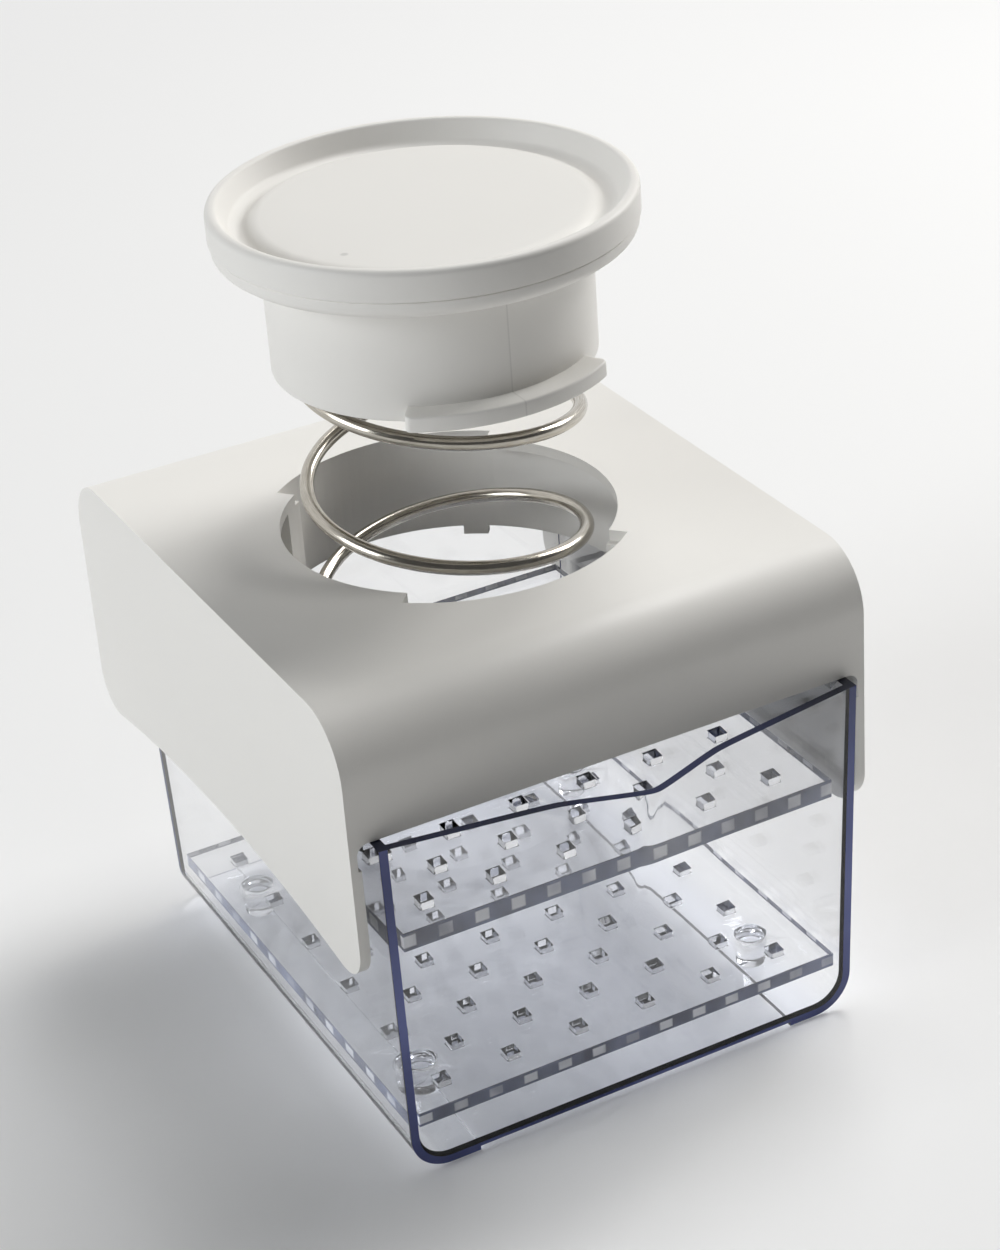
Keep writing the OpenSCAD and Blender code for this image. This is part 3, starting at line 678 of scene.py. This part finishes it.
def lean_in(z):
    """How far a wall has leaned in at height z."""
    return vessel_lean * (vessel_top - z)


def soft_ramp(t, ease):
    """Zero for negative t and t for positive t, with the corner eased: (t + sqrt(t^2 + ease^2)) / 2."""
    return (t + np.sqrt(t * t + ease * ease)) / 2


def bulge(x, z):
    """Forward reach of the pouring lip: a wide and a narrow wedge across X, each fading
    downwards as a power of the height above its lower end. The ridge in the middle is
    rounded by taking sqrt(x^2 + pinch^2) - pinch for |x|."""
    side = np.sqrt(x * x + lip_pinch * lip_pinch) - lip_pinch
    up_wide = np.clip((z - lip_wide_low) / (vessel_top - lip_wide_low), 0, 1)
    up_tip = np.clip((z - lip_tip_low) / (vessel_top - lip_tip_low), 0, 1)
    wide = soft_ramp(1 - side / lip_wide, 0.02) * up_wide ** 1.7
    tip = soft_ramp(1 - side / lip_tip, 0.12) * up_tip ** 1.5
    return lip_wide_reach * wide + lip_tip_reach * tip


def side_line(inset, low, bend):
    """Right half of the U section from its top to the edge of the floor: a leaning
    straight line, then a quarter arc. Returns half widths and heights. The first four
    points are close together, because the rail grows out of them."""
    lean = math.atan(vessel_lean)
    top_x = vessel_half_width - inset
    corner_x = top_x - (vessel_top - low - bend) * vessel_lean - bend / math.cos(lean)
    turn = np.linspace(lean, math.pi / 2, 13)
    arc_x = corner_x + bend * np.cos(turn)
    arc_z = low + bend - bend * np.sin(turn)
    z = vessel_top - np.concatenate([[0, 0.7, 1.4, 2.4], np.linspace(5, 84, 25)])
    x = top_x - vessel_lean * (vessel_top - z)
    return np.concatenate([x, arc_x]), np.concatenate([z, arc_z])


# Columns of the end walls and the floor, as shares of the half width: close together over
# the lip's ridge, and doubled where the floor's recess starts
recess_share = 0.8534
across = np.array([
    0, 0.01, 0.02, 0.035, 0.05, 0.075, 0.1, 0.14, 0.18, 0.22, 0.26, 0.3, 0.34, 0.4, 0.5, 0.6, 0.7, 0.78,
    recess_share, recess_share, 0.93, 1.0])
across = np.concatenate([-across[:0:-1], across])
middle_column = len(across) // 2
over_recess = np.abs(np.arange(len(across)) - middle_column) < middle_column - 2

# Rows from the front wall to the rear wall, as shares of the depth: doubled at both ends of
# the rail
rail_start, no_gap = 0.06, 1e-7
deep = np.concatenate([
    [0, 0.003, rail_start, rail_start + no_gap], np.linspace(0.1, 0.9, 17),
    [1 - rail_start - no_gap, 1 - rail_start, 0.997, 1.0]])
on_rail = (deep > rail_start) & (deep < 1 - rail_start)


def front_at(x, z):
    """Place along Y of the front wall's outer face."""
    return -vessel_half_depth + lean_in(z) - bulge(x, z)


def rear_at(x, z):
    """Place along Y of the rear wall's outer face."""
    return vessel_half_depth - lean_in(z) + 0 * x


def u_section(w, z, recessed):
    """Down the left side, across the floor and up the right side, as points (x, z)."""
    floor = np.stack([across * w[-1], np.full(len(across), z[-1])], -1)
    if recessed:
        floor[over_recess, 1] = recess_depth
    return np.concatenate([np.stack([-w, z], -1), floor[1:-1], np.stack([w, z], -1)[::-1]])


def end_wall(w, z, place, inset):
    """Grid over an end wall: x is a share of the half width at height z, y comes from the
    place of the outer face and an inset."""
    x = across[None] * w[:, None]
    h = np.repeat(z[:, None], len(across), 1)
    return np.stack([x, place(x, h) + inset, h], -1)


def end_ring(outside, inside, place):
    """Strip between the outer and the inner U section, on the outer face of an end wall."""
    x, z = np.stack([outside.T, inside.T], 1)
    return np.stack([x, place(x, z), z], -1)


def trough(section, front_inset, rear_inset, railed):
    """The U section carried from the front wall to the rear wall, by a share of the way
    between both for each point. Inside the rails' span, the first four points of each side
    stand out as the rail."""
    x, h = section[:, 0], section[:, 1]
    start, stop = front_at(x, h) + front_inset, rear_at(x, h) + rear_inset
    y = start[None] + deep[:, None] * (stop - start)[None]
    x, h = np.repeat(x[None], len(deep), 0), np.repeat(h[None], len(deep), 0)
    if railed:
        k = np.arange(len(rail_drop))
        for side, index in ((-1, k), (1, len(section) - 1 - k)):
            x[np.ix_(on_rail, index)] = side * (rail_reach - rail_inward)
            h[np.ix_(on_rail, index)] = vessel_top - rail_drop
    return np.stack([x, y, h], -1)


def grid_faces(grid):
    """Points and faces of a grid of points."""
    rows, cols = grid.shape[:2]
    return grid.reshape(-1, 3), squares(rows, cols).tolist()


def make_container():
    """Closed shell: outer and inner trough, an outer and inner face on each end wall, the
    U-shaped rim round each end, and the rim round the top. They share their edges."""
    outside = u_section(*side_line(0, 0, vessel_bend), True)
    band_line = side_line(rim_band, rim_band, vessel_bend - rim_band)
    inner_line = side_line(vessel_wall, vessel_floor, vessel_bend - vessel_wall)
    inside = u_section(*inner_line, False)
    shell = trough(outside, 0, 0, True)
    hollow = trough(inside, vessel_front, -vessel_wall, False)
    front = [end_wall(*band_line, front_at, 0), end_wall(*inner_line, front_at, vessel_front)]
    rear = [end_wall(*band_line, rear_at, 0), end_wall(*inner_line, rear_at, -vessel_wall)]
    rings = [end_ring(outside, u_section(*band_line, False), place) for place in (front_at, rear_at)]

    def top_loop(front_row, rear_row, sides):
        """Top points of one skin in turn: along the front, a side, the rear and a side."""
        return np.concatenate([sides[:1, 0], front_row, sides[:, -1], rear_row[::-1], sides[:0:-1, 0]])

    outer_rim = top_loop(front[0][0], rear[0][0], shell)
    inner_rim = top_loop(front[1][0], rear[1][0], hollow)
    top = (np.concatenate([outer_rim, inner_rim]), squares(2, len(outer_rim), wrap=True).tolist())
    parts = [grid_faces(grid) for grid in (shell, hollow, *front, *rear)]
    clear_count = sum(len(faces) for _, faces in parts)
    parts += [grid_faces(grid) for grid in rings]
    side_count = sum(len(faces) for _, faces in parts)
    points, faces = joined(*parts, top)
    number = np.arange(len(faces))
    on_edge = (number >= clear_count).astype(int) + (number >= side_count)
    vessel = make_piece("container_clear", points + [0, middle_y, 0], faces, clear_shell, "container",
                        "container", sharp=30, edge=([shell_rim, shell_top], on_edge))
    soften_edges(vessel, 0.4, segments=3, angle=40)


# ---------------------------------------------------------------------------
# Cover
# ---------------------------------------------------------------------------

def make_cover():
    """The frame's own cover, merged to a closed mesh with its flats made whole, and its
    edges softened."""
    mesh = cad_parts["cover"].data.copy()
    mesh.name = "cover_moulding"
    shape = bmesh.new()
    shape.from_mesh(mesh)
    bmesh.ops.remove_doubles(shape, verts=shape.verts, dist=0.002 * MM)
    bmesh.ops.dissolve_limit(shape, angle_limit=math.radians(0.5), verts=shape.verts, edges=shape.edges)
    shape.to_mesh(mesh)
    shape.free()
    mesh.materials.clear()
    mesh.materials.append(white_cover)
    mesh.shade_smooth()
    mesh.set_sharp_from_angle(angle=math.radians(30))
    piece = bpy.data.objects.new("cover_moulding", mesh)
    bpy.context.scene.collection.objects.link(piece)
    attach(piece, "cover")
    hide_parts("cover")
    soften_edges(piece, 0.8, segments=4, angle=30)


make_knob()
make_spring()
make_slab("press_plate_clear", "press_plate", plate_half_width, plate_half_depth, plate_low, plate_high)
make_slab("drain_tray_clear", "drain_tray", tray_half_width, tray_half_depth, tray_low, tray_high,
          vessel_floor + foot_gap)
make_container()
make_cover()


# ---------------------------------------------------------------------------
# Floor, light and camera
# ---------------------------------------------------------------------------

def mirrored(tree, path):
    """Mask of what metal and glass see."""
    return maths(tree, "MAXIMUM", path.outputs["Is Glossy Ray"], path.outputs["Is Transmission Ray"])


def make_floor():
    """Large pale sheet just under the press. Far from the press, where the lamps don't
    reach, the camera, metal and glass see an even pale background in its place."""
    material, tree, output, place = new_material("pale_floor")
    tone = carried(tree, cloudy(tree, place.outputs["Object"], 3.0, 2.0), 0.0, 1.0, 0.86, 0.88)
    colour = add(tree, "ShaderNodeCombineColor", {0: tone, 1: tone, 2: tone})
    skin = add(tree, "ShaderNodeBsdfPrincipled", {
        "Base Color": colour.outputs[0], "Roughness": 0.6, "Specular IOR Level": 0.2})
    away = add(tree, "ShaderNodeVectorMath", {0: place.outputs["Object"]}, operation="LENGTH")
    far = carried(tree, away.outputs["Value"], 0.55, 1.4, interpolation_type="SMOOTHSTEP")
    path = add(tree, "ShaderNodeLightPath")
    seen = maths(tree, "MAXIMUM", path.outputs["Is Camera Ray"], mirrored(tree, path))
    backdrop = add(tree, "ShaderNodeEmission", {"Color": (1.0, 1.0, 1.0, 1), "Strength": 0.84})
    surface = add(tree, "ShaderNodeMixShader", {
        0: maths(tree, "MULTIPLY", far, seen), 1: skin.outputs[0], 2: backdrop.outputs[0]})
    tree.links.new(surface.outputs[0], output.inputs["Surface"])
    side = np.linspace(-6, 6, 25)
    gx, gy = np.meshgrid(side, side)
    points = np.stack([gx, gy, 0 * gx - 0.1 * MM], -1).reshape(-1, 3)
    mesh = bpy.data.meshes.new("floor")
    mesh.from_pydata(points.tolist(), [], squares(len(side), len(side)).tolist())
    mesh.materials.append(material)
    floor = bpy.data.objects.new("floor", mesh)
    bpy.context.scene.collection.objects.link(floor)


def add_softbox(name, azimuth, elevation, distance, width, power, colour):
    """Square lamp that faces the middle of the press from a distance in metres, at
    (cos a cos e, sin a cos e, sin e) for its two angles in degrees."""
    a, e = math.radians(azimuth), math.radians(elevation)
    away = Vector((math.cos(a) * math.cos(e), math.sin(a) * math.cos(e), math.sin(e)))
    light = bpy.data.lights.new(name, "AREA")
    light.shape = "SQUARE"
    light.size = width
    light.energy = power
    light.color = colour
    lamp = bpy.data.objects.new(name, light)
    bpy.context.scene.collection.objects.link(lamp)
    lamp.location = Vector((0, 0, 0.09)) + away * distance
    lamp.rotation_euler = away.to_track_quat("Z", "Y").to_euler()


def set_world(ambient, background, shade):
    """Weak even light. The camera sees the pale background. Metal and glass see it too,
    darker towards the front and overhead, where the room has no lamp."""
    world = bpy.data.worlds.new("studio")
    bpy.context.scene.world = world
    world.use_nodes = True
    tree = world.node_tree
    tree.nodes.clear()
    output = tree.nodes.new("ShaderNodeOutputWorld")
    path = tree.nodes.new("ShaderNodeLightPath")
    place = tree.nodes.new("ShaderNodeTexCoord")
    to_rear = add(tree, "ShaderNodeVectorMath", {0: place.outputs["Generated"], 1: (0.05, 0.85, -0.5)},
                  operation="DOT_PRODUCT")
    level = carried(tree, to_rear.outputs["Value"], -0.45, 0.25, shade, background,
                    interpolation_type="SMOOTHSTEP")
    indirect = add(tree, "ShaderNodeMix", {0: mirrored(tree, path), 2: ambient, 3: level})
    strength = add(tree, "ShaderNodeMix", {
        0: path.outputs["Is Camera Ray"], 2: indirect.outputs[0], 3: background})
    sky = add(tree, "ShaderNodeBackground", {"Color": (1.0, 1.0, 1.0, 1), "Strength": strength.outputs[0]})
    tree.links.new(sky.outputs[0], output.inputs["Surface"])


def make_camera():
    """Camera at the photograph's angle: turned about Z, tilted down and rolled a little."""
    turn, tilt, roll = math.radians(-26.387), math.radians(28.991), math.radians(-4.32)
    distance, shift_x, aim_x, aim_z = 771.88, 10.254, 0.9, 95.424
    lens_px, frame_height = 2929.0, 1250.0           # focal length and height, in the frame's pixels
    back = Vector((math.sin(turn) * math.cos(tilt), -math.cos(turn) * math.cos(tilt), math.sin(tilt)))
    right = Vector((math.cos(turn), math.sin(turn), 0))
    up = back.cross(right)
    across_view = right * math.cos(roll) + up * math.sin(roll)
    up_view = up * math.cos(roll) - right * math.sin(roll)
    place = Vector((aim_x, hole_y, aim_z)) + back * distance + right * shift_x
    data = bpy.data.cameras.new("camera")
    data.sensor_width = 36
    data.lens = lens_px * data.sensor_width / frame_height
    data.clip_start, data.clip_end = 0.01, 100
    camera = bpy.data.objects.new("camera", data)
    bpy.context.scene.collection.objects.link(camera)
    matrix = Matrix((across_view, up_view, back)).transposed().to_4x4()
    matrix.translation = place * MM
    camera.matrix_world = matrix
    bpy.context.scene.camera = camera


make_floor()
set_world(ambient=0.06, background=0.9, shade=0.10)
add_softbox("key", 10, 31, distance=2.6, width=1.0, power=43.0, colour=(1.0, 0.99, 0.97))
add_softbox("high_key", 38, 60, distance=2.6, width=1.05, power=30.0, colour=(1.0, 0.995, 0.985))
add_softbox("left_fill", 178, 22, distance=1.9, width=1.0, power=20.0, colour=(0.955, 0.98, 1.0))
make_camera()
bpy.context.scene.view_settings.view_transform = "Standard"
